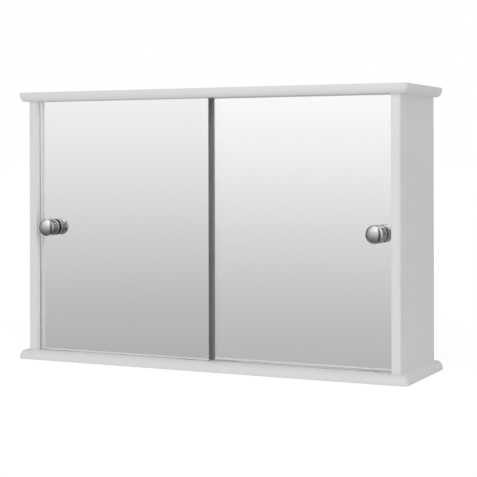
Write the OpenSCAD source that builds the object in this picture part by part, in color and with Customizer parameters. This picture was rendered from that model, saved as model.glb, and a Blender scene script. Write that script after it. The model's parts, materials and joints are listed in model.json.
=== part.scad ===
// Wall cabinet for a bathroom, with two sliding mirror doors.
// Frame: X to the right, Y to the back, Z up. The wall is the plane Y = 0,
// the underside of the base board is Z = 0, and X = 0 is the middle.

/* [Cabinet] */
// Width over the top and base boards
board_w = 558; // [500:1:700]
// Depth of the top and base boards, from the wall to their front edge
board_d = 145; // [140:1:180]
// Height over both boards
overall_h = 365; // [340:1:450]
// Thickness of the top and base boards
board_t = 12; // [12:0.5:18]
// Thickness of the side panels
side_t = 12; // [12:0.5:18]
// How far the boards stand out past the side panels at each end
side_overhang = 11.5; // [10:0.5:16]
// How far the boards stand out past the front edges of the side panels
front_overhang = 10; // [9:0.5:14]

/* [Moulding] */
// Radius of the round edge that runs along the front and both ends
moulding_r = 10; // [10:0.5:12]
// Flat band between the round edge and the outer face of the board
moulding_flat = 3; // [2:0.5:4]
// Radius that softens the outer arris and the corners
arris_r = 1.2; // [0.8:0.1:1.5]
// Radius at the front corners, seen from above
corner_r = 6; // [6:0.5:8]

/* [Sliding doors] */
// Thickness of the mirror glass
glass_t = 3; // [3:0.1:3.4]
// Width of one door
door_w = 258.8; // [235:0.2:275]
// Distance of the front door's face behind the side panels' front edges
door_setback = 8.6; // [8:0.1:12]
// Distance from one door to the other, from front to back
door_pitch = 7.5; // [7.5:0.1:8.5]
// Height of the knob's axis above the underside
knob_z = 181; // [150:1:215]
// Distance of the knob's axis from the outer edge of its door
knob_inset = 20.3; // [18:0.1:30]

/* [Knob] */
// Largest radius, at the rim
knob_r = 11.6; // [11:0.1:12]
// How far the knob stands out from the glass
knob_l = 22.8; // [22:0.1:24]
// Radius of the base flange
flange_r = 11.4; // [11:0.1:12]
// Radius of the waist between the beads
waist_r = 9.9; // [9.5:0.1:10]

/* [Shelf] */
// Thickness of the shelf
shelf_t = 12; // [9:0.5:15]
// Depth of the shelf, from front to back
shelf_d = 104; // [90:1:104]
// Row of peg holes that holds the shelf, counted from the lowest
shelf_row = 1; // [0:1:2]

/* [Back and hanging rail] */
// Thickness of the back panel
back_t = 3; // [2.5:0.1:4]
// Height of the hanging rail
rail_h = 50; // [44:1:70]
// Thickness of the hanging rail
rail_t = 12; // [12:0.5:15]
// Distance between the two wall screws
screw_spacing = 400; // [300:1:420]

/* [Hidden] */
$fn = 96;

// Carcass
carcass_w = board_w - 2 * side_overhang;
side_d = board_d - front_overhang;
inner_x = carcass_w / 2 - side_t;
mid_x = carcass_w / 2 - side_t / 2;
floor_z = board_t;
ceiling_z = overall_h - board_t;
side_edge_r = 1;

// Back panel, let into a rebate all round
rebate_w = 6;
back_gap = 0.3;
back_x = inner_x + rebate_w;
back_low_z = floor_z - rebate_w;
back_high_z = ceiling_z + rebate_w;

// Wall screws, through the rail and the back panel
screw_hole_r = 2.75;
screw_z = ceiling_z - rail_h / 2;
sink_r = 5;
sink_depth = 2.5;

// Doors: 0 is the front door, on the left, and 1 is the back door, on the right
front_door_y = -side_d + door_setback;
door_y = [front_door_y, front_door_y + door_pitch];
door_side = [-1, 1];
edge_gap = 0.7;
door_low_z = 9.7;
door_high_z = overall_h - 9.6;
silver_t = 0.2;

// Tracks, sunk flush into the boards
lower_groove_w = 4.8;
upper_groove_w = 3.8;
track_wall = 1.6;
track_floor = 1.5;
lower_track_h = 5;
upper_track_h = 8;
track_front_y = front_door_y + glass_t / 2 - lower_groove_w / 2 - track_wall;
track_w = door_pitch + lower_groove_w + 2 * track_wall;

// Glide shoes on the lower edge of each door
glide_l = 24;
glide_wall = 0.7;
glide_floor = 1;
glide_h = 3;
glide_from_end = 22;

// Fittings that join the carcass
dowel_r = 3;
dowel_fit = 0.02;
board_dowel_depth = 7;
panel_dowel_depth = 17;
dowel_y = [-75, -50];
cam_y = [-90, -35];
cam_r = 6;
cam_depth = 9;
cam_from_end = 24;
bolt_thread_r = 3;
bolt_depth = 8;
bolt_bore_r = 3.6;
bolt_shank_r = 1.7;
bolt_head_r = 2.6;
rail_dowel_z = [ceiling_z - 12, ceiling_z - rail_h + 12];
rail_y = -back_t - rail_t / 2;

// Shelf pegs
peg_r = 2.5;
peg_fit = 0.02;
peg_depth = 9;
peg_y = [-88, -24];
peg_pitch = 32;
peg_low_z = 135.5;
peg_rows = 3;
shelf_z = peg_low_z + shelf_row * peg_pitch + peg_r;
shelf_end_gap = 1;
shelf_back_gap = 1;

// Pins that hold the back panel
pin_r = 0.7;
pin_l = 13;
pin_head_r = 1.6;
pin_head_h = 0.8;
pin_side_x = inner_x + rebate_w / 2;
pin_side_z = [for (i = [0 : 4]) overall_h / 2 + (i - 2) * 71];
pin_board_x = [for (i = [0 : 4]) (i - 2) * 100];
pin_rail_x = [for (i = [0 : 3]) (i - 1.5) * 100];
pin_board_z = [floor_z - rebate_w / 2, ceiling_z + rebate_w / 2];

// Knob: distances out from the face of the glass
gasket_t = 0.8;
gasket_r = 10.7;
bead_r = 1;
bead_at = [5.2, 8, 10.8];
rim_bead_r = 1.3;
rim_at = 16.9;
rim_in = knob_r - rim_bead_r;
dome_h = knob_l - rim_at;
// The dome is tangent to the round of the rim
dome_r = (rim_in * rim_in + dome_h * dome_h - rim_bead_r * rim_bead_r) / (2 * (dome_h - rim_bead_r));
dome_spread = dome_r / (dome_r - rim_bead_r);
knob_bore_depth = 10;

// Knob fixing: screw from behind, bush in the glass, washer under the head
glass_hole_r = 4;
screw_r = 2;
screw_clear_r = 2.15;
bush_r = 3.95;
washer_r = 5.5;
washer_t = 1;
screw_head_r = 4;
screw_head_h = 2.4;

// ---- helpers ----

// Everything is drawn once for each end of the cabinet
module both_ends() {
    for (s = [-1, 1])
        scale_x(s) children();
}

// Mirrors the children to the left when s is -1
module scale_x(s) {
    if (s < 0)
        mirror([1, 0, 0]) children();
    else
        children();
}

// Bar along X that cuts a convex round of radius r along an edge at Y = 0, Z = 0;
// the board fills the quadrant Y > 0, Z < 0
module round_cutter(r, l) {
    translate([0, r, -r])
        rotate([0, 90, 0])
            difference() {
                translate([-r - 1, -r - 1, -l / 2])
                    cube([r + 1, r + 1, l]);
                translate([0, 0, -l / 2 - 1])
                    cylinder(r = r, h = l + 2);
            }
}

// Half outline of the moulded edge where it turns round a front corner
module corner_outline() {
    difference() {
        square([corner_r, board_t]);
        difference() {
            translate([corner_r - moulding_r, moulding_flat])
                square(moulding_r + 1);
            translate([corner_r - moulding_r, moulding_flat])
                circle(r = moulding_r);
        }
        difference() {
            translate([corner_r - arris_r, -1])
                square(arris_r + 1);
            translate([corner_r - arris_r, arris_r])
                circle(r = arris_r);
        }
    }
}

// Cuts the right front corner of a board, whose corner centre is at the origin
module corner_cutter() {
    difference() {
        translate([0, -corner_r - 1, -1])
            cube([corner_r + 1, corner_r + 1, board_t + 2]);
        rotate_extrude()
            corner_outline();
    }
}

// Board with its face down at Z = 0 and its moulded edge above, on the front and both ends
module moulded_blank() {
    cut_l = 2 * board_w;
    difference() {
        translate([-board_w / 2, -board_d, 0])
            cube([board_w, board_d, board_t]);
        // Round edge along the front and both ends
        translate([0, -board_d, moulding_flat + moulding_r])
            round_cutter(moulding_r, cut_l);
        both_ends()
            translate([board_w / 2, 0, moulding_flat + moulding_r])
                rotate([0, 0, 90])
                    round_cutter(moulding_r, cut_l);
        // Soft arris at the outer face
        translate([0, -board_d, 0])
            mirror([0, 0, 1])
                round_cutter(arris_r, cut_l);
        both_ends()
            translate([board_w / 2, 0, 0])
                mirror([0, 0, 1])
                    rotate([0, 0, 90])
                        round_cutter(arris_r, cut_l);
        // Front corners, where the moulded edge turns round
        both_ends()
            translate([board_w / 2 - corner_r, corner_r - board_d, 0])
                corner_cutter();
    }
}

// Blind holes in a board that lies with its inner face at Z = 0 and its body below
module board_joint_holes() {
    both_ends() {
        for (y = dowel_y)
            translate([mid_x, y, -board_dowel_depth - 0.5])
                cylinder(r = dowel_r, h = board_dowel_depth + 1);
        for (y = cam_y)
            translate([mid_x, y, -bolt_depth - 0.5])
                cylinder(r = bolt_thread_r, h = bolt_depth + 1);
    }
}

// Space for the back panel in the rear edges of the carcass
module back_rebate() {
    translate([-back_x, -back_t, back_low_z])
        cube([2 * back_x, back_t + 1, back_high_z - back_low_z]);
}

// Holes for the pins that hold the back panel
module pin_holes() {
    at_pins()
        cylinder(r = pin_r, h = pin_l + 0.5);
    at_pins()
        translate([0, 0, -1])
            cylinder(r = pin_head_r, h = pin_head_h + 1);
}

// Places a child at each pin, with +Z going forward into the cabinet
module at_pins() {
    for (z = pin_side_z, s = [-1, 1])
        translate([s * pin_side_x, 0, z])
            rotate([90, 0, 0]) children();
    for (z = pin_board_z, x = pin_board_x)
        translate([x, 0, z])
            rotate([90, 0, 0]) children();
    for (x = pin_rail_x)
        translate([x, 0, screw_z])
            rotate([90, 0, 0]) children();
}

// The two wall screw holes, with a countersink at the front of the rail
module wall_screw_holes() {
    for (s = [-1, 1])
        translate([s * screw_spacing / 2, 1, screw_z])
            rotate([90, 0, 0]) {
                cylinder(r = screw_hole_r, h = back_t + rail_t + 2);
                translate([0, 0, 1 + back_t + rail_t - sink_depth])
                    cylinder(r1 = screw_hole_r, r2 = sink_r, h = sink_depth);
                translate([0, 0, 1 + back_t + rail_t])
                    cylinder(r = sink_r, h = 1);
            }
}

// Holes for the dowels between the hanging rail and the side panels, right end
module rail_dowel_holes() {
    for (z = rail_dowel_z)
        translate([inner_x - panel_dowel_depth - 0.5, rail_y, z])
            rotate([0, 90, 0])
                cylinder(r = dowel_r, h = panel_dowel_depth + board_dowel_depth + 1);
}

// ---- carcass ----

module top_board() {
    color("white")
        difference() {
            translate([0, 0, overall_h])
                mirror([0, 0, 1])
                    moulded_blank();
            translate([-inner_x, track_front_y, ceiling_z - 1])
                cube([2 * inner_x, track_w, upper_track_h + 1]);
            translate([0, 0, ceiling_z])
                mirror([0, 0, 1])
                    board_joint_holes();
            back_rebate();
            pin_holes();
        }
}

module base_board() {
    color("white")
        difference() {
            moulded_blank();
            translate([-inner_x, track_front_y, floor_z - lower_track_h])
                cube([2 * inner_x, track_w, lower_track_h + 1]);
            translate([0, 0, floor_z])
                board_joint_holes();
            back_rebate();
            pin_holes();
        }
}

// Right side panel, with its bores for dowels, cams, bolts and pegs
module side_panel() {
    panel_h = ceiling_z - floor_z;
    difference() {
        translate([inner_x, -side_d, floor_z])
            cube([side_t, side_d, panel_h]);
        // Eased front edges
        translate([inner_x + side_t, -side_d, floor_z + panel_h / 2])
            rotate([0, 90, 90])
                round_cutter(side_edge_r, 2 * panel_h);
        translate([inner_x, -side_d, floor_z + panel_h / 2])
            rotate([0, 90, 0])
                mirror([0, 0, 1])
                    round_cutter(side_edge_r, 2 * panel_h);
        back_rebate();
        pin_holes();
        rail_dowel_holes();
        for (end = [0, 1])
            translate([0, 0, end == 0 ? floor_z : ceiling_z])
                mirror([0, 0, end])
                    panel_end_holes();
        for (y = peg_y, row = [0 : peg_rows - 1])
            translate([inner_x - 1, y, peg_low_z + row * peg_pitch])
                rotate([0, 90, 0])
                    cylinder(r = peg_r, h = peg_depth + 1);
    }
}

// Bores at one end of a side panel that stands on Z = 0
module panel_end_holes() {
    for (y = dowel_y)
        translate([mid_x, y, -1])
            cylinder(r = dowel_r, h = panel_dowel_depth + 1.5);
    for (y = cam_y) {
        translate([mid_x, y, -1])
            cylinder(r = bolt_bore_r, h = cam_from_end + 1);
        translate([inner_x - 1, y, cam_from_end])
            rotate([0, 90, 0])
                cylinder(r = cam_r, h = cam_depth + 1);
    }
}

module side_panel_left() {
    color("white")
        mirror([1, 0, 0])
            side_panel();
}

module side_panel_right() {
    color("white")
        side_panel();
}

module back_panel() {
    color("whitesmoke")
        difference() {
            translate([-back_x + back_gap, -back_t, back_low_z + back_gap])
                cube([
                    2 * (back_x - back_gap),
                    back_t,
                    back_high_z - back_low_z - 2 * back_gap
                ]);
            pin_holes();
            wall_screw_holes();
        }
}

module hanging_rail() {
    color("white")
        difference() {
            translate([-inner_x, -back_t - rail_t, ceiling_z - rail_h])
                cube([2 * inner_x, rail_t, rail_h]);
            wall_screw_holes();
            pin_holes();
            both_ends()
                rail_dowel_holes();
        }
}

module shelf() {
    length = 2 * (inner_x - shelf_end_gap);
    front_y = -back_t - shelf_back_gap - shelf_d;
    color("white")
        difference() {
            translate([-length / 2, front_y, shelf_z])
                cube([length, shelf_d, shelf_t]);
            translate([0, front_y, shelf_z + shelf_t])
                round_cutter(side_edge_r, 2 * length);
            translate([0, front_y, shelf_z])
                mirror([0, 0, 1])
                    round_cutter(side_edge_r, 2 * length);
        }
}

module shelf_pegs() {
    collar_r = 4;
    collar_t = 0.8;
    rest_l = 8;
    color("silver")
        both_ends()
            for (y = peg_y)
                translate([inner_x, y, shelf_z - peg_r])
                    rotate([0, 90, 0])
                        union() {
                            translate([0, 0, -rest_l])
                                cylinder(r = peg_r - peg_fit, h = rest_l + peg_depth - 0.5);
                            translate([0, 0, -collar_t])
                                cylinder(r = collar_r, h = collar_t);
                        }
}

// Track of height h with two grooves, its grooves opening up and its back at Z = 0
module track(h, groove_w) {
    difference() {
        translate([-inner_x, track_front_y, 0])
            cube([2 * inner_x, track_w, h]);
        for (y = door_y)
            translate([-inner_x - 1, y + glass_t / 2 - groove_w / 2, track_floor])
                cube([2 * inner_x + 2, groove_w, h]);
    }
}

module upper_track() {
    color("white")
        translate([0, 0, ceiling_z + upper_track_h])
            mirror([0, 0, 1])
                track(upper_track_h, upper_groove_w);
}

module lower_track() {
    color("white")
        translate([0, 0, floor_z - lower_track_h])
            track(lower_track_h, lower_groove_w);
}

module dowels() {
    r = dowel_r - dowel_fit;
    length = board_dowel_depth + panel_dowel_depth;
    color("burlywood")
        both_ends() {
            for (y = dowel_y) {
                translate([mid_x, y, floor_z - board_dowel_depth])
                    cylinder(r = r, h = length);
                translate([mid_x, y, ceiling_z - panel_dowel_depth])
                    cylinder(r = r, h = length);
            }
            for (z = rail_dowel_z)
                translate([inner_x - panel_dowel_depth, rail_y, z])
                    rotate([0, 90, 0])
                        cylinder(r = r, h = length);
        }
}

// Bolt that stands on the inner face of a board, with its thread below Z = 0
module cam_bolt() {
    thread_l = bolt_depth - 0.5;
    head_h = 2.2;
    union() {
        translate([0, 0, -thread_l])
            cylinder(r = bolt_thread_r - dowel_fit, h = thread_l);
        cylinder(r = bolt_thread_r - dowel_fit, h = 1.2);
        cylinder(r = bolt_shank_r, h = cam_from_end);
        translate([0, 0, cam_from_end - head_h / 2])
            cylinder(r = bolt_head_r, h = head_h);
    }
}

// Places a child at each cam, on the end of a panel, with +Z going into the panel
module at_cams() {
    both_ends()
        for (y = cam_y, end = [0, 1])
            translate([mid_x, y, end == 0 ? floor_z : ceiling_z])
                mirror([0, 0, end]) children();
}

module cam_bolts() {
    color("silver")
        at_cams() cam_bolt();
}

// Round cam with a slot for the bolt's shank, a pocket for its head and a cross for the driver
module cam_lock() {
    r = cam_r - 0.1;
    h = cam_depth - 0.2;
    shank_slot = 2 * bolt_shank_r + 0.8;
    head_slot = 2 * bolt_head_r + 0.8;
    head_room = 3.4;
    cross_l = 7;
    cross_w = 1.4;
    cross_depth = 1.6;
    face_x = -side_t / 2;
    difference() {
        translate([face_x, 0, cam_from_end])
            rotate([0, 90, 0])
                cylinder(r = r, h = h);
        translate([-shank_slot / 2, -shank_slot / 2, cam_from_end - 2 * r])
            cube([shank_slot + r, shank_slot, 2 * r]);
        translate([-head_slot / 2, -head_slot / 2, cam_from_end - head_room / 2])
            cube([head_slot + r, head_slot, head_room]);
        for (turn = [0, 90])
            translate([face_x - 1, 0, cam_from_end])
                rotate([turn, 0, 0])
                    translate([0, -cross_l / 2, -cross_w / 2])
                        cube([cross_depth + 1, cross_l, cross_w]);
    }
}

module cam_locks() {
    color("lightgray")
        at_cams() cam_lock();
}

module cam_caps() {
    cap_r = 6.8;
    cap_t = 0.8;
    color("white")
        at_cams()
            translate([-side_t / 2 - cap_t, 0, cam_from_end])
                rotate([0, 90, 0])
                    cylinder(r = cap_r, h = cap_t);
}

module back_pins() {
    color("gray")
        at_pins()
            union() {
                cylinder(r = pin_r - dowel_fit, h = pin_l);
                cylinder(r = pin_head_r - dowel_fit, h = pin_head_h);
            }
}

// ---- doors ----

// Knob centre of door i
function knob_x(i) = door_side[i] * (inner_x - edge_gap - knob_inset);

// Places a child on the axis of door i's knob, with +Z out from the glass
module at_knob(i) {
    translate([knob_x(i), door_y[i], knob_z])
        rotate([90, 0, 0]) children();
}

// Sheet of thickness t that fills door i's outline, its front face y_in behind the glass face
module door_sheet(i, y_in, t, hole_r) {
    outer_x = inner_x - edge_gap;
    difference() {
        scale_x(door_side[i])
            translate([outer_x - door_w, door_y[i] + y_in, door_low_z])
                cube([door_w, t, door_high_z - door_low_z]);
        at_knob(i)
            translate([0, 0, -y_in - t - 1])
                cylinder(r = hole_r, h = t + 2);
    }
}

module mirror_glass(i) {
    color([0.82, 0.86, 0.88])
        door_sheet(i, 0, glass_t, glass_hole_r);
}

module silvering(i) {
    color([0.7, 0.72, 0.75])
        door_sheet(i, glass_t, silver_t, glass_hole_r);
}

// Two U-shaped shoes that carry the glass in the lower groove
module glides(i) {
    sheet_t = glass_t + silver_t;
    outer_w = sheet_t + 2 * glide_wall - silver_t;
    color("white")
        scale_x(door_side[i])
            for (x = [
                inner_x - edge_gap - glide_from_end - glide_l,
                inner_x - edge_gap - door_w + glide_from_end
            ])
                difference() {
                    translate([x, door_y[i] - glide_wall, door_low_z - glide_floor])
                        cube([glide_l, outer_w, glide_h]);
                    translate([x - 1, door_y[i], door_low_z])
                        cube([glide_l + 2, sheet_t, glide_h]);
                }
}

// Half outline of the knob: radius along X, distance out from the glass along Y
module knob_outline() {
    flange_round = 1.2;
    flare_from = 11.8;
    // Body and flared neck
    translate([0, gasket_t])
        square([waist_r, rim_at - gasket_t]);
    polygon([
        [0, flare_from],
        [waist_r, flare_from],
        [knob_r - rim_bead_r / 2, rim_at - rim_bead_r / 2],
        [knob_r - rim_bead_r / 2, rim_at],
        [0, rim_at]
    ]);
    // Base flange with a rounded edge
    translate([0, gasket_t])
        square([flange_r - flange_round, 2 * flange_round]);
    translate([flange_r - flange_round, gasket_t + flange_round])
        circle(r = flange_round);
    // Beads round the waist
    for (d = bead_at)
        translate([waist_r - 0.2, d])
            circle(r = bead_r);
    // Rim
    translate([rim_in, rim_at])
        circle(r = rim_bead_r);
    translate([0, rim_at])
        square([rim_in, rim_bead_r]);
    // Domed face
    intersection() {
        translate([0, knob_l - dome_r])
            circle(r = dome_r);
        translate([0, knob_l - dome_r + (dome_r - dome_h) * dome_spread])
            square([rim_in * dome_spread, dome_r]);
    }
}

module knob(i) {
    color("silver")
        at_knob(i)
            difference() {
                rotate_extrude()
                    intersection() {
                        knob_outline();
                        square([2 * knob_r, 2 * knob_l]);
                    }
                translate([0, 0, -1])
                    cylinder(r = screw_r + dowel_fit, h = knob_bore_depth + 1);
            }
}

// Flat ring on the knob's axis, from distance d0 to d1 out from the glass
module knob_ring(i, r_in, r_out, d0, d1) {
    at_knob(i)
        difference() {
            translate([0, 0, d0])
                cylinder(r = r_out, h = d1 - d0);
            translate([0, 0, d0 - 1])
                cylinder(r = r_in, h = d1 - d0 + 2);
        }
}

module knob_gasket(i) {
    color("black")
        knob_ring(i, screw_clear_r, gasket_r, 0, gasket_t);
}

module knob_bush(i) {
    color("ivory")
        knob_ring(i, screw_clear_r, bush_r, -glass_t - silver_t, 0);
}

module knob_washer(i) {
    back = -glass_t - silver_t;
    color("dimgray")
        knob_ring(i, screw_clear_r, washer_r, back - washer_t, back);
}

module knob_screw(i) {
    seat = -glass_t - silver_t - washer_t;
    shank_l = -seat + knob_bore_depth - 0.5;
    cross_l = 4;
    cross_w = 1;
    cross_depth = 1.2;
    color("silver")
        at_knob(i)
            difference() {
                union() {
                    translate([0, 0, seat])
                        cylinder(r = screw_r, h = shank_l);
                    translate([0, 0, seat - screw_head_h])
                        cylinder(r = screw_head_r, h = screw_head_h);
                }
                for (turn = [0, 90])
                    rotate([0, 0, turn])
                        translate([-cross_l / 2, -cross_w / 2, seat - screw_head_h - 1])
                            cube([cross_l, cross_w, cross_depth + 1]);
            }
}

top_board();
base_board();
side_panel_left();
side_panel_right();
back_panel();
hanging_rail();
shelf();
shelf_pegs();
upper_track();
lower_track();
dowels();
cam_bolts();
cam_locks();
cam_caps();
back_pins();
mirror_glass(0);  // mirror_left
silvering(0);  // silvering_left
glides(0);  // glides_left
knob(0);  // knob_left
knob_gasket(0);  // knob_gasket_left
knob_bush(0);  // knob_bush_left
knob_washer(0);  // knob_washer_left
knob_screw(0);  // knob_screw_left
mirror_glass(1);  // mirror_right
silvering(1);  // silvering_right
glides(1);  // glides_right
knob(1);  // knob_right
knob_gasket(1);  // knob_gasket_right
knob_bush(1);  // knob_bush_right
knob_washer(1);  // knob_washer_right
knob_screw(1);  // knob_screw_right
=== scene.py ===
import json
import math

import bmesh
import bpy
from mathutils import Matrix, Vector


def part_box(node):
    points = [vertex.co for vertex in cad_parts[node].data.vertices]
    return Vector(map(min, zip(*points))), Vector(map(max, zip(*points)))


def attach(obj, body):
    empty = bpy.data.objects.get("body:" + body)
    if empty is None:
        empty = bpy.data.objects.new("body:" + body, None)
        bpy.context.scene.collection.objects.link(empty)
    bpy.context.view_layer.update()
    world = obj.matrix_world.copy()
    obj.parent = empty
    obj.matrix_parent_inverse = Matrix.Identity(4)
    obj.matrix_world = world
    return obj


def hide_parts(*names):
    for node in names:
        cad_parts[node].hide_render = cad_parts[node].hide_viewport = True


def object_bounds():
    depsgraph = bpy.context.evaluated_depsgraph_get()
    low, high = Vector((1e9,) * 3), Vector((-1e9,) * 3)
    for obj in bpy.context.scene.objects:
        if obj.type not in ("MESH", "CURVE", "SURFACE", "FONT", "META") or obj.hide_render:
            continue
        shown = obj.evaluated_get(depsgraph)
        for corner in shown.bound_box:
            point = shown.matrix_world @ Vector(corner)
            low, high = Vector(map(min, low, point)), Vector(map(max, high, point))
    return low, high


# Wall cabinet with two sliding mirror doors: finishes and softened edges for the CAD parts,
# turned knobs in place of the CAD ones, camera, studio light and floor

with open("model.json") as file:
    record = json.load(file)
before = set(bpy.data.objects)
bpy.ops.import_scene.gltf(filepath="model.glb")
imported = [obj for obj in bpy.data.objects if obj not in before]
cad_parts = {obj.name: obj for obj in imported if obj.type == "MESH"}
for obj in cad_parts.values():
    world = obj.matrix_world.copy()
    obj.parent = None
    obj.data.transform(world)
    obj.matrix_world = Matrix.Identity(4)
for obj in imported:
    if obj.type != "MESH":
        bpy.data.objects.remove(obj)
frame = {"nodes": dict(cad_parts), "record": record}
cad_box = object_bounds()

MM = 0.001
scene = bpy.context.scene
scene.view_settings.view_transform = "Standard"
scene.view_settings.look = "None"
# Mirrors throw light onto the boards beside them, which blurring would lose
scene.cycles.blur_glossy = 0.0


# ---- node helpers ----

def new_material(name):
    """An empty node material; returns the material and its tree."""
    material = bpy.data.materials.new(name)
    material.use_nodes = True
    tree = material.node_tree
    tree.nodes.clear()
    return material, tree


def add(tree, kind, **inputs):
    """A node of that kind, with its plain inputs set by name."""
    node = tree.nodes.new(kind)
    for key, value in inputs.items():
        node.inputs[key.replace("_", " ")].default_value = value
    return node


def math_node(tree, operation, a, b=None, c=None):
    """A Math node whose inputs are numbers or sockets; returns its output socket."""
    node = tree.nodes.new("ShaderNodeMath")
    node.operation = operation
    for socket, value in zip(node.inputs, (a, b, c)):
        if value is None:
            continue
        if isinstance(value, (int, float)):
            socket.default_value = value
        else:
            tree.links.new(value, socket)
    return node.outputs[0]


def ramp(tree, factor, stops):
    """A colour ramp through (place, grey or colour) stops; returns its colour socket."""
    node = tree.nodes.new("ShaderNodeValToRGB")
    elements = node.color_ramp.elements
    elements[0].position, elements[1].position = stops[0][0], stops[-1][0]
    for place, _ in stops[1:-1]:
        elements.new(place)
    for element, (_, colour) in zip(elements, stops):
        grey = isinstance(colour, (int, float))
        element.color = (colour, colour, colour, 1) if grey else (*colour, 1)
    tree.links.new(factor, node.inputs[0])
    return node.outputs[0]


def noise(tree, vector, scale, detail=3.0, roughness=0.5):
    """A noise texture's factor, over a vector socket."""
    node = add(tree, "ShaderNodeTexNoise", Scale=scale, Detail=detail, Roughness=roughness)
    tree.links.new(vector, node.inputs["Vector"])
    return node.outputs[0]


def object_coords(tree):
    """Object coordinates, in metres."""
    return tree.nodes.new("ShaderNodeTexCoord").outputs["Object"]


def stretched(tree, vector, scale):
    """A vector socket scaled along its axes."""
    node = add(tree, "ShaderNodeMapping", Scale=scale)
    tree.links.new(vector, node.inputs["Vector"])
    return node.outputs[0]


def bump(tree, height, distance, strength):
    """A bump normal from a height socket, with its depth in metres."""
    node = add(tree, "ShaderNodeBump", Strength=strength, Distance=distance)
    tree.links.new(height, node.inputs["Height"])
    return node.outputs[0]


def principled(tree, **inputs):
    """The Principled shader, joined to the material's output."""
    shader = add(tree, "ShaderNodeBsdfPrincipled", **inputs)
    output = tree.nodes.new("ShaderNodeOutputMaterial")
    tree.links.new(shader.outputs[0], output.inputs["Surface"])
    return shader


# ---- materials ----

def painted_board():
    """Sprayed satin paint on fibreboard: faint cloudiness and a fine orange peel."""
    material, tree = new_material("satin_white_paint")
    coords = object_coords(tree)
    shader = principled(tree, IOR=1.45)
    cloud = noise(tree, coords, 9.0, 4.0)
    colour = ramp(tree, cloud, [(0.3, 0.775), (0.7, 0.795)])
    tree.links.new(colour, shader.inputs["Base Color"])
    gloss = ramp(tree, noise(tree, coords, 60.0, 3.0), [(0.3, 0.36), (0.7, 0.44)])
    tree.links.new(gloss, shader.inputs["Roughness"])
    peel = noise(tree, coords, 850.0, 2.0)
    tree.links.new(bump(tree, peel, 0.00012, 0.35), shader.inputs["Normal"])
    return material


def hardboard():
    """Hardboard: white lacquer on its face, brown fibre mesh texture on its back."""
    material, tree = new_material("hardboard")
    coords = object_coords(tree)
    shader = principled(tree, IOR=1.45)
    normal = tree.nodes.new("ShaderNodeNewGeometry").outputs["True Normal"]
    split = tree.nodes.new("ShaderNodeSeparateXYZ")
    tree.links.new(normal, split.inputs[0])
    is_back = math_node(tree, "GREATER_THAN", split.outputs[1], 0.5)
    fibre = noise(tree, stretched(tree, coords, (1.0, 1.0, 0.35)), 420.0, 6.0, 0.65)
    brown = ramp(tree, fibre, [(0.3, (0.17, 0.095, 0.045)), (0.7, (0.34, 0.21, 0.11))])
    white = ramp(tree, noise(tree, coords, 12.0), [(0.3, 0.74), (0.7, 0.77)])
    mix = tree.nodes.new("ShaderNodeMix")
    mix.data_type = "RGBA"
    tree.links.new(is_back, mix.inputs[0])
    tree.links.new(white, mix.inputs[6])
    tree.links.new(brown, mix.inputs[7])
    tree.links.new(mix.outputs[2], shader.inputs["Base Color"])
    rough = math_node(tree, "MULTIPLY_ADD", is_back, 0.38, 0.42)
    tree.links.new(rough, shader.inputs["Roughness"])
    relief = math_node(tree, "MULTIPLY", fibre, is_back)
    tree.links.new(bump(tree, relief, 0.0003, 0.8), shader.inputs["Normal"])
    return material


def plastic(name, low, high):
    """Moulded plastic with a fine spark-eroded grain."""
    material, tree = new_material(name)
    coords = object_coords(tree)
    shader = principled(tree, IOR=1.5)
    colour = ramp(tree, noise(tree, coords, 45.0), [(0.3, low), (0.7, high)])
    tree.links.new(colour, shader.inputs["Base Color"])
    grain = noise(tree, coords, 1600.0, 2.0)
    gloss = math_node(tree, "MULTIPLY_ADD", grain, 0.12, 0.36)
    tree.links.new(gloss, shader.inputs["Roughness"])
    tree.links.new(bump(tree, grain, 0.00005, 0.5), shader.inputs["Normal"])
    return material


def rubber():
    """Black rubber with a dusty bloom."""
    material, tree = new_material("black_rubber")
    coords = object_coords(tree)
    shader = principled(tree, IOR=1.5)
    bloom = noise(tree, coords, 260.0, 5.0)
    tree.links.new(ramp(tree, bloom, [(0.35, 0.008), (0.75, 0.022)]), shader.inputs["Base Color"])
    tree.links.new(ramp(tree, bloom, [(0.3, 0.62), (0.7, 0.78)]), shader.inputs["Roughness"])
    tree.links.new(bump(tree, bloom, 0.00008, 0.5), shader.inputs["Normal"])
    return material


def metal(name, low, high, rough, grain_scale, depth):
    """Plated or cast metal: tone and gloss vary with a fine grain."""
    material, tree = new_material(name)
    coords = object_coords(tree)
    shader = principled(tree, Metallic=1.0)
    grain = noise(tree, coords, grain_scale, 4.0, 0.6)
    tree.links.new(ramp(tree, grain, [(0.3, low), (0.7, high)]), shader.inputs["Base Color"])
    gloss = math_node(tree, "MULTIPLY_ADD", grain, 0.14, rough - 0.07)
    tree.links.new(gloss, shader.inputs["Roughness"])
    tree.links.new(bump(tree, grain, depth, 0.5), shader.inputs["Normal"])
    return material


def chrome(name="polished_chrome", low=0.58, high=0.62, gloss=0.05):
    """Polished chrome plate with faint polishing haze."""
    material, tree = new_material(name)
    coords = object_coords(tree)
    shader = principled(tree, Metallic=1.0)
    haze = noise(tree, coords, 500.0, 4.0)
    tree.links.new(ramp(tree, haze, [(0.3, low), (0.7, high)]), shader.inputs["Base Color"])
    tree.links.new(ramp(tree, haze, [(0.3, gloss), (0.7, gloss + 0.03)]), shader.inputs["Roughness"])
    return material


def float_glass():
    """Clear float glass, which darkens with the length of glass looked through."""
    material, tree = new_material("float_glass")
    shader = principled(
        tree, Base_Color=(1, 1, 1, 1), Roughness=0.0, IOR=1.5, Transmission_Weight=1.0
    )
    absorb = add(tree, "ShaderNodeVolumeAbsorption", Color=(0.72, 0.75, 0.745, 1), Density=8.0)
    output = next(n for n in tree.nodes if n.type == "OUTPUT_MATERIAL")
    tree.links.new(absorb.outputs[0], output.inputs["Volume"])
    return material


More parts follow.
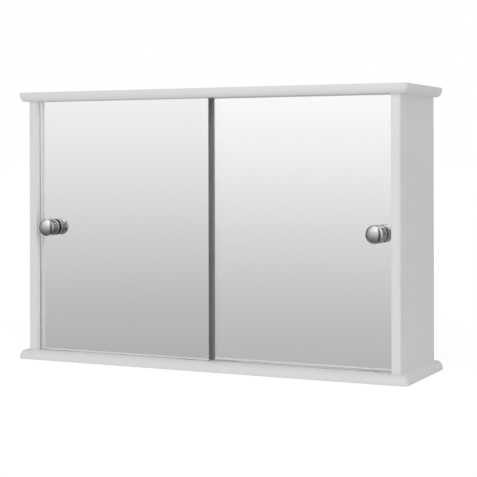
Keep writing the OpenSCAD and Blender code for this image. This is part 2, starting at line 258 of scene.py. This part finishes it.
def ground_glass():
    """Ground edge of the glass, dull, and partly painted shade: dark grey for the shade in the gap
    where the doors meet.
    """
    material, tree = new_material("ground_glass_edge_painted_shade")
    coords = object_coords(tree)
    shader = principled(tree, IOR=1.5)
    grind = noise(tree, coords, 700.0, 4.0)
    colour = ramp(tree, grind, [(0.3, (0.115, 0.122, 0.12)), (0.7, (0.15, 0.157, 0.155))])
    tree.links.new(colour, shader.inputs["Base Color"])
    tree.links.new(ramp(tree, grind, [(0.3, 0.45), (0.7, 0.6)]), shader.inputs["Roughness"])
    tree.links.new(bump(tree, grind, 0.00005, 0.5), shader.inputs["Normal"])
    return material


def mirror_silver():
    """Silver coating seen through the glass."""
    material, tree = new_material("mirror_silver")
    principled(tree, Base_Color=(0.95, 0.95, 0.95, 1), Metallic=1.0, Roughness=0.0)
    return material


def safety_paint():
    """Grey backing paint with roller stipple."""
    material, tree = new_material("backing_paint")
    coords = object_coords(tree)
    shader = principled(tree, IOR=1.45)
    stipple = noise(tree, coords, 300.0, 4.0)
    tree.links.new(ramp(tree, stipple, [(0.3, 0.36), (0.7, 0.42)]), shader.inputs["Base Color"])
    tree.links.new(ramp(tree, stipple, [(0.3, 0.5), (0.7, 0.65)]), shader.inputs["Roughness"])
    tree.links.new(bump(tree, stipple, 0.0001, 0.5), shader.inputs["Normal"])
    return material


def beech():
    """Raw beech with fine grain."""
    material, tree = new_material("beech")
    coords = object_coords(tree)
    shader = principled(tree, IOR=1.45, Roughness=0.7)
    grain = noise(tree, stretched(tree, coords, (1.0, 1.0, 0.12)), 900.0, 5.0)
    colour = ramp(tree, grain, [(0.3, (0.42, 0.25, 0.12)), (0.7, (0.62, 0.42, 0.24))])
    tree.links.new(colour, shader.inputs["Base Color"])
    tree.links.new(bump(tree, grain, 0.0001, 0.5), shader.inputs["Normal"])
    return material


SLOT_MATERIALS = {
    "white_board": painted_board(),
    "hardboard": hardboard(),
    "white_plastic": plastic("white_plastic", 0.70, 0.74),
    "nylon": plastic("nylon", (0.66, 0.64, 0.56), (0.71, 0.69, 0.62)),
    "mirror_glass": float_glass(),
    "silvering": safety_paint(),
    "chrome": chrome(),
    "black_rubber": rubber(),
    "zinc": metal("zinc_casting", 0.42, 0.52, 0.38, 700.0, 0.00008),
    "steel": metal("plated_steel", 0.45, 0.55, 0.28, 1500.0, 0.00003),
    "beech": beech(),
}
SILVER = mirror_silver()
# Painted shade: a dark grey ground edge for where the doors meet
PAINTED_SHADE_EDGE = ground_glass()
# Painted shade: a dark chrome in the grooves of the knobs, where shade falls between the beads
GROOVE_SHADE_CHROME = chrome("chrome_painted_groove_shade", 0.07, 0.11, 0.22)
# A face counts as facing an axis when its normal has more than this along it
FACES_AXIS = 0.9
SAME_PLANE = 0.01 * MM
# Door edges no farther than this from the middle are the ones that meet there
MEETING_HALF = 10 * MM

for part in frame["record"]["subparts"]:
    cad = frame["nodes"][part["node"]]
    cad.data.materials.clear()
    cad.data.materials.append(SLOT_MATERIALS[part["material_slot"]])


def paint_faces(node, material, chosen):
    """Gives the faces of a CAD node that the test picks a second material."""
    mesh = frame["nodes"][node].data
    mesh.materials.append(material)
    index = len(mesh.materials) - 1
    for face in mesh.polygons:
        if chosen(face):
            face.material_index = index


def paint_door(side, inward):
    """Silver behind the glass, and a dull ground edge with painted shade, dark grey, where the doors
    meet.
    """
    back_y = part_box(f"mirror_{side}")[1].y

    def is_back(face):
        return face.normal.y > FACES_AXIS and abs(face.center.y - back_y) < SAME_PLANE

    def is_meeting_edge(face):
        return face.normal.x * inward > FACES_AXIS and abs(face.center.x) < MEETING_HALF

    paint_faces(f"mirror_{side}", SILVER, is_back)
    # Painted shade: the meeting edges take the dark grey edge, standing for the shade in the gap
    # between the doors
    paint_faces(f"mirror_{side}", PAINTED_SHADE_EDGE, is_meeting_edge)
    paint_faces(f"silvering_{side}", SILVER, lambda face: face.normal.y < -FACES_AXIS)


paint_door("left", 1)
paint_door("right", -1)


# ---- soft arrises ----

BOARD_ARRIS, PANEL_ARRIS, GLASS_ARRIS = 0.5 * MM, 0.8 * MM, 0.2 * MM
# The film behind the glass is this much smaller all round, so that it shares no plane with it
FILM_INSET = 0.04 * MM


def soften(node, width, segments=3):
    """Rounds the sharp edges of a CAD node with modifiers, which leave its mesh as it is."""
    cad = frame["nodes"][node]
    weld = cad.modifiers.new("weld", "WELD")
    weld.merge_threshold = 0.001 * MM
    flat = cad.modifiers.new("flat", "DECIMATE")
    flat.decimate_type = "DISSOLVE"
    flat.angle_limit = math.radians(0.5)
    round_edges = cad.modifiers.new("arris", "BEVEL")
    round_edges.width = width
    round_edges.segments = segments
    round_edges.limit_method = "ANGLE"
    round_edges.angle_limit = math.radians(40)
    shading = cad.modifiers.new("shading", "WEIGHTED_NORMAL")
    shading.keep_sharp = True


for node in ("top_board", "base_board"):
    soften(node, BOARD_ARRIS)
for side in ("left", "right"):
    soften(f"side_panel_{side}", PANEL_ARRIS)
    soften(f"mirror_{side}", GLASS_ARRIS, 2)
    film = frame["nodes"][f"silvering_{side}"]
    thinner = film.modifiers.new("thinner", "DISPLACE")
    thinner.mid_level = 0.0
    thinner.strength = -FILM_INSET


# ---- turned knobs ----

def arc(centre, radius, start, end, steps):
    """Points of an arc in the half plane (radius, distance out), angles in degrees."""
    return [
        (
            centre[0] + radius * math.cos(math.radians(start + (end - start) * i / steps)),
            centre[1] + radius * math.sin(math.radians(start + (end - start) * i / steps)),
        )
        for i in range(steps + 1)
    ]


# Sizes in mm; a place along the knob is its distance out from the glass
GASKET_T = 0.8
BORE_R, BORE_DEPTH = 2.02, 10.0
FLANGE_R, FLANGE_ROUND = 11.4, 1.2
WAIST_R = 9.9
BEAD_R, BEAD_AT = 1.0, (5.2, 8.0, 10.8)
# The beads' centres lie this far inside the waist
BEAD_SINK = 0.2
FLARE_FROM = 12.05
RIM_R, RIM_AT = 1.3, (10.3, 16.9)
# The flare runs into the rim's round at this angle in degrees
RIM_START = -63
KNOB_L = 22.8
# The domed face runs smoothly into the rim's round
RIM_TO_TIP = KNOB_L - RIM_AT[1]
DOME_R = (RIM_AT[0] ** 2 + RIM_TO_TIP ** 2 - RIM_R ** 2) / (2 * (RIM_TO_TIP - RIM_R))
# Painted shade, as a dark chrome, lies between the flange and the flare, this close to the axis but
# not in the bore
GROOVE_R, GROOVE_END = 10.35, 12.8
BORE_MARGIN = 1.0
AROUND = 160


def knob_profile():
    """Half outline of the knob in mm: (radius, distance out from the glass)."""
    flange_in = FLANGE_R - FLANGE_ROUND
    points = [(BORE_R, GASKET_T)]
    points += arc((flange_in, GASKET_T + FLANGE_ROUND), FLANGE_ROUND, -90, 90, 16)
    cove = flange_in - WAIST_R
    points += arc((flange_in, GASKET_T + 2 * FLANGE_ROUND + cove), cove, 270, 180, 5)[1:]
    bead_centre = WAIST_R - BEAD_SINK
    bead_end = math.degrees(math.acos(BEAD_SINK / BEAD_R))
    for out in BEAD_AT:
        points += arc((bead_centre, out), BEAD_R, -bead_end, bead_end, 14)
    points.append((WAIST_R, FLARE_FROM))
    dome_centre = (0, KNOB_L - DOME_R)
    # The rim's round and the dome touch where a line from the dome's centre goes through both
    tangent = math.degrees(math.atan2(RIM_AT[1] - dome_centre[1], RIM_AT[0]))
    points += arc(RIM_AT, RIM_R, RIM_START, tangent, 16)
    points += arc(dome_centre, DOME_R, tangent, 90, 30)[1:-1]
    return points


def turned_mesh(name, axis_x, axis_z, glass_y):
    """The knob's profile turned round an axis that goes straight out of the glass."""

    def spot(radius, out, turn):
        return (
            axis_x + radius * MM * math.cos(turn),
            glass_y - out * MM,
            axis_z + radius * MM * math.sin(turn),
        )

    mesh = bmesh.new()
    rings = [
        [mesh.verts.new(spot(radius, out, 2 * math.pi * i / AROUND)) for i in range(AROUND)]
        for radius, out in [(BORE_R, GASKET_T + BORE_DEPTH)] + knob_profile()
    ]
    bore_end = mesh.verts.new(spot(0, GASKET_T + BORE_DEPTH, 0))
    apex = mesh.verts.new(spot(0, KNOB_L, 0))
    for i in range(AROUND):
        j = (i + 1) % AROUND
        for near, far in zip(rings, rings[1:]):
            mesh.faces.new((near[i], near[j], far[j], far[i]))
        mesh.faces.new((rings[-1][i], rings[-1][j], apex))
        mesh.faces.new((rings[0][j], rings[0][i], bore_end))
    bmesh.ops.recalc_face_normals(mesh, faces=mesh.faces)
    data = bpy.data.meshes.new(name)
    mesh.to_mesh(data)
    mesh.free()
    data.shade_smooth()
    data.set_sharp_from_angle(angle=math.radians(38))
    return data


def turned_knob(side):
    """The knob as one turned piece, on the axis of its CAD node."""
    low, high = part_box(f"knob_{side}")
    axis_x, axis_z = (low.x + high.x) / 2, (low.z + high.z) / 2
    glass_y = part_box(f"mirror_{side}")[0].y
    data = turned_mesh(f"turned_knob_{side}", axis_x, axis_z, glass_y)
    data.materials.append(SLOT_MATERIALS["chrome"])
    data.materials.append(GROOVE_SHADE_CHROME)
    # Painted shade: the faces in the grooves beside the beads take the dark chrome
    flange_end = GASKET_T + 2 * FLANGE_ROUND
    for face in data.polygons:
        out = (glass_y - face.center.y) / MM
        radius = math.hypot(face.center.x - axis_x, face.center.z - axis_z) / MM
        beside_beads = flange_end < out < GROOVE_END
        face.material_index = int(beside_beads and BORE_R + BORE_MARGIN < radius < GROOVE_R)
    knob = bpy.data.objects.new(f"turned_knob_{side}", data)
    scene.collection.objects.link(knob)
    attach(knob, f"door_{side}")
    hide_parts(f"knob_{side}")


for side in ("left", "right"):
    turned_knob(side)


# ---- camera ----

# Fitted to the photo's edges and corners: it looks level, from the right and above the middle
YAW = math.radians(25.407)
ROLL = math.radians(-0.134)
CAMERA_AT = Vector((0.7958, -1.7023, 0.2747))
LENS = 102.65
SHIFT_Y = -0.1686

camera_data = bpy.data.cameras.new("camera")
camera_data.lens = LENS
camera_data.sensor_width = 36.0
camera_data.shift_y = SHIFT_Y
camera = bpy.data.objects.new("camera", camera_data)
scene.collection.objects.link(camera)
upright = Matrix.Rotation(YAW, 4, "Z") @ Matrix.Rotation(math.radians(90), 4, "X")
camera.matrix_world = Matrix.Translation(CAMERA_AT) @ upright @ Matrix.Rotation(ROLL, 4, "Z")
scene.camera = camera


# ---- world ----

def ease(tree, value, start, end):
    """0 before start, 1 after end and smooth between, of a value socket."""
    node = add(tree, "ShaderNodeMapRange", From_Min=start, From_Max=end)
    node.interpolation_type = "SMOOTHSTEP"
    tree.links.new(value, node.inputs["Value"])
    return node.outputs[0]


# The surroundings have three looks, each a brightness by the sine of the direction's elevation.
# What lights the boards:
LIGHT_TONES = [
    (-1.0, 0.76), (-0.60, 0.80), (-0.38, 0.86), (-0.145, 0.92), (0.0, 1.02), (0.16, 1.05),
    (0.34, 0.93), (0.60, 0.74), (1.0, 0.54),
]
# What mirrors show:
SEEN_TONES = [
    (-1.0, 0.18), (-0.60, 0.24), (-0.38, 0.32), (-0.22, 0.42), (-0.145, 0.497), (-0.104, 0.575),
    (-0.060, 0.700), (-0.016, 0.841), (0.013, 0.926), (0.043, 0.997), (0.14, 0.90), (0.30, 0.62),
    (0.60, 0.42), (1.0, 0.25),
]
# What chrome shows, a softbox high up that fades towards the floor:
CHROME_TONES = [
    (-1.0, 0.12), (-0.90, 0.14), (-0.82, 0.155), (-0.70, 0.19), (-0.55, 0.24), (-0.36, 0.325),
    (-0.17, 0.42), (0.0, 0.50), (0.17, 0.58), (0.31, 0.67), (0.47, 0.80), (0.62, 0.91),
    (0.77, 0.98), (0.90, 1.0), (0.96, 0.72), (0.99, 0.35), (1.0, 0.25),
]
CHROME_LEVEL = 1.6
# Level of the chrome's surroundings by azimuth in degrees from straight in front, positive to
# the right: dim sides, and a black flag with a bright strip beyond it to the right of the camera
CHROME_AROUND = [
    (-180, 0.20), (-110, 0.22), (-90, 0.36), (-75, 0.52), (-60, 0.68), (-45, 0.80), (-30, 0.87),
    (0, 1.0), (26, 1.0), (36, 0.30), (46, 0.16), (54, 0.35), (63, 1.0), (74, 0.95), (92, 0.45),
    (115, 0.22), (180, 0.20),
]
# For chrome, azimuth counts for less and less between these sines, towards zenith and nadir
POLE_FROM, POLE_TO = 0.86, 0.985
# Dim sides and back of the room for boards and mirrors, by azimuth to either side
SIDES_FROM, SIDES_TO = 62.0, 84.0
LIGHT_SIDES, SEEN_SIDES = 0.74, 0.12
BACK_FROM, BACK_TO = 120.0, 160.0
LIGHT_BACK, SEEN_BACK = 0.85, 0.20
# That dimming fades out between these sines, so that ceiling and floor keep one level
STEEP_FROM, STEEP_TO = 0.30, 0.65
# Level of the room after a second reflection, as by way of chrome and then a mirror
TWICE_REFLECTED = 0.85
# The left mirror looks at a dimmer part of the room than the right one, split at this azimuth
LEFT_MIRROR, RIGHT_MIRROR = 0.935, 1.02
SPLIT_AT, SPLIT_WIDTH = -26.5, 1.0


def heading(azimuth, elevation):
    """Unit vector towards an azimuth from straight in front, positive to the right."""
    az, el = math.radians(azimuth), math.radians(elevation)
    return Vector((math.sin(az) * math.cos(el), -math.cos(az) * math.cos(el), math.sin(el)))


def blended(tree, factor, start, end):
    """A number that goes from start to end as the factor goes from 0 to 1."""
    return math_node(tree, "MULTIPLY_ADD", factor, end - start, start)


def side_level(tree, around, rise, sides, back):
    """Factor that dims the sides of the room, but not steeply above or below."""
    aside = ease(tree, around, SIDES_FROM, SIDES_TO)
    behind = ease(tree, around, BACK_FROM, BACK_TO)
    dimming = math_node(tree, "MULTIPLY", aside, blended(tree, behind, 1 - sides, 1 - back))
    not_steep = math_node(tree, "SUBTRACT", 1.0, ease(tree, rise, STEEP_FROM, STEEP_TO))
    return math_node(tree, "SUBTRACT", 1.0, math_node(tree, "MULTIPLY", dimming, not_steep))


def background(tree, tone, strength):
    """A Background shader from a tone socket and a strength socket."""
    shader = add(tree, "ShaderNodeBackground")
    tree.links.new(tone, shader.inputs["Color"])
    tree.links.new(strength, shader.inputs["Strength"])
    return shader.outputs[0]


def mixed(tree, factor, first, second):
    """The first shader where the factor is 0 and the second where it is 1."""
    mix = tree.nodes.new("ShaderNodeMixShader")
    for socket, source in zip(mix.inputs, (factor, first, second)):
        tree.links.new(source, socket)
    return mix.outputs[0]


def by_sine(tones):
    """Stops of a ramp over a height of 0 to 1, from (sine of elevation, tone) pairs."""
    return [(0.5 * sine + 0.5, tone) for sine, tone in tones]


def studio_world():
    """White to the camera, an even soft light on the boards, a room with a white band at eye
    level in the mirrors, and a studio with a high softbox in the chrome."""
    world = bpy.data.worlds.new("studio")
    world.use_nodes = True
    tree = world.node_tree
    tree.nodes.clear()
    direction = tree.nodes.new("ShaderNodeTexCoord").outputs["Generated"]
    split = tree.nodes.new("ShaderNodeSeparateXYZ")
    tree.links.new(direction, split.inputs[0])
    x, y, z = split.outputs
    height = math_node(tree, "MULTIPLY_ADD", z, 0.5, 0.5)
    rise = math_node(tree, "ABSOLUTE", z)
    turn = math_node(tree, "ARCTAN2", x, math_node(tree, "MULTIPLY", y, -1.0))
    degrees = math_node(tree, "MULTIPLY", turn, 180 / math.pi)
    around = math_node(tree, "ABSOLUTE", degrees)

    light_tone = ramp(tree, height, by_sine(LIGHT_TONES))
    light = background(tree, light_tone, side_level(tree, around, rise, LIGHT_SIDES, LIGHT_BACK))

    seen_tone = ramp(tree, height, by_sine(SEEN_TONES))
    seen_level = side_level(tree, around, rise, SEEN_SIDES, SEEN_BACK)
    right_of = ease(tree, degrees, SPLIT_AT - SPLIT_WIDTH / 2, SPLIT_AT + SPLIT_WIDTH / 2)
    door_level = blended(tree, right_of, LEFT_MIRROR, RIGHT_MIRROR)
    rays = tree.nodes.new("ShaderNodeLightPath").outputs
    twice = math_node(tree, "GREATER_THAN", rays["Glossy Depth"], 1.5)
    path_level = blended(tree, twice, 1.0, TWICE_REFLECTED)
    ray_level = math_node(tree, "MULTIPLY", door_level, path_level)
    room = background(tree, seen_tone, math_node(tree, "MULTIPLY", seen_level, ray_level))

    chrome_tone = ramp(tree, height, by_sine(CHROME_TONES))
    turned = math_node(tree, "MULTIPLY_ADD", degrees, 1 / 360, 0.5)
    stops = [((azimuth + 180) / 360, value) for azimuth, value in CHROME_AROUND]
    at_azimuth = ramp(tree, turned, stops)
    at_pole = ease(tree, rise, POLE_FROM, POLE_TO)
    off_pole = math_node(tree, "SUBTRACT", 1.0, at_pole)
    chrome_level = math_node(tree, "MULTIPLY_ADD", off_pole, at_azimuth, at_pole)
    strength = math_node(tree, "MULTIPLY", chrome_level, CHROME_LEVEL)
    studio = background(tree, chrome_tone, strength)

    # Rays that a mirror or glass sends on see the room, those from chrome see the studio, and
    # all that have met a matt surface see the soft light
    white = add(tree, "ShaderNodeBackground", Color=(1, 1, 1, 1), Strength=1.0)
    shiny = math_node(tree, "MAXIMUM", rays["Is Glossy Ray"], rays["Is Transmission Ray"])
    direct = math_node(tree, "LESS_THAN", rays["Diffuse Depth"], 0.5)
    sharp = math_node(tree, "MAXIMUM", rays["Is Singular Ray"], rays["Is Transmission Ray"])
    reflected = mixed(tree, sharp, studio, room)
    lit = mixed(tree, math_node(tree, "MULTIPLY", shiny, direct), light, reflected)
    shown = mixed(tree, rays["Is Camera Ray"], lit, white.outputs[0])
    output = tree.nodes.new("ShaderNodeOutputWorld")
    tree.links.new(shown, output.inputs["Surface"])
    scene.world = world


studio_world()


# ---- lights ----

def softbox(name, azimuth, elevation, distance, size, power):
    """A soft area light that looks at the cabinet's middle, unseen in mirrors and chrome."""
    middle = (cad_box[0] + cad_box[1]) / 2
    out = heading(azimuth, elevation)
    light = bpy.data.lights.new(name, "AREA")
    light.shape = "RECTANGLE"
    light.size, light.size_y = size
    light.energy = power
    lamp = bpy.data.objects.new(name, light)
    scene.collection.objects.link(lamp)
    lamp.location = middle + out * distance
    lamp.rotation_euler = out.to_track_quat("Z", "Y").to_euler()
    lamp.visible_glossy = False


softbox("key", azimuth=33, elevation=40, distance=1.0, size=(0.35, 0.3), power=0.95)


# ---- floor ----

FLOOR_HALF = 40.0
FLOOR_GLOW, FLOOR_GREY = 0.8, 0.3
# It lies this far under the cabinet, so that no two faces share a plane
FLOOR_DROP = 0.2 * MM


def floor():
    """Large white floor that only the camera sees, so it bounces nothing onto the cabinet."""
    material, tree = new_material("floor")
    glow = add(tree, "ShaderNodeEmission", Color=(1, 1, 1, 1), Strength=FLOOR_GLOW)
    grey = (FLOOR_GREY, FLOOR_GREY, FLOOR_GREY, 1)
    matt = add(tree, "ShaderNodeBsdfDiffuse", Color=grey)
    both = tree.nodes.new("ShaderNodeAddShader")
    tree.links.new(glow.outputs[0], both.inputs[0])
    tree.links.new(matt.outputs[0], both.inputs[1])
    output = tree.nodes.new("ShaderNodeOutputMaterial")
    tree.links.new(both.outputs[0], output.inputs["Surface"])
    mesh = bpy.data.meshes.new("floor")
    signs = [(-1, -1), (1, -1), (1, 1), (-1, 1)]
    corners = [(FLOOR_HALF * x, FLOOR_HALF * y, 0) for x, y in signs]
    mesh.from_pydata(corners, [], [(0, 1, 2, 3)])
    mesh.materials.append(material)
    plane = bpy.data.objects.new("floor", mesh)
    scene.collection.objects.link(plane)
    plane.location.z = cad_box[0].z - FLOOR_DROP
    plane.visible_glossy = False
    plane.visible_diffuse = False
    plane.visible_transmission = False


floor()
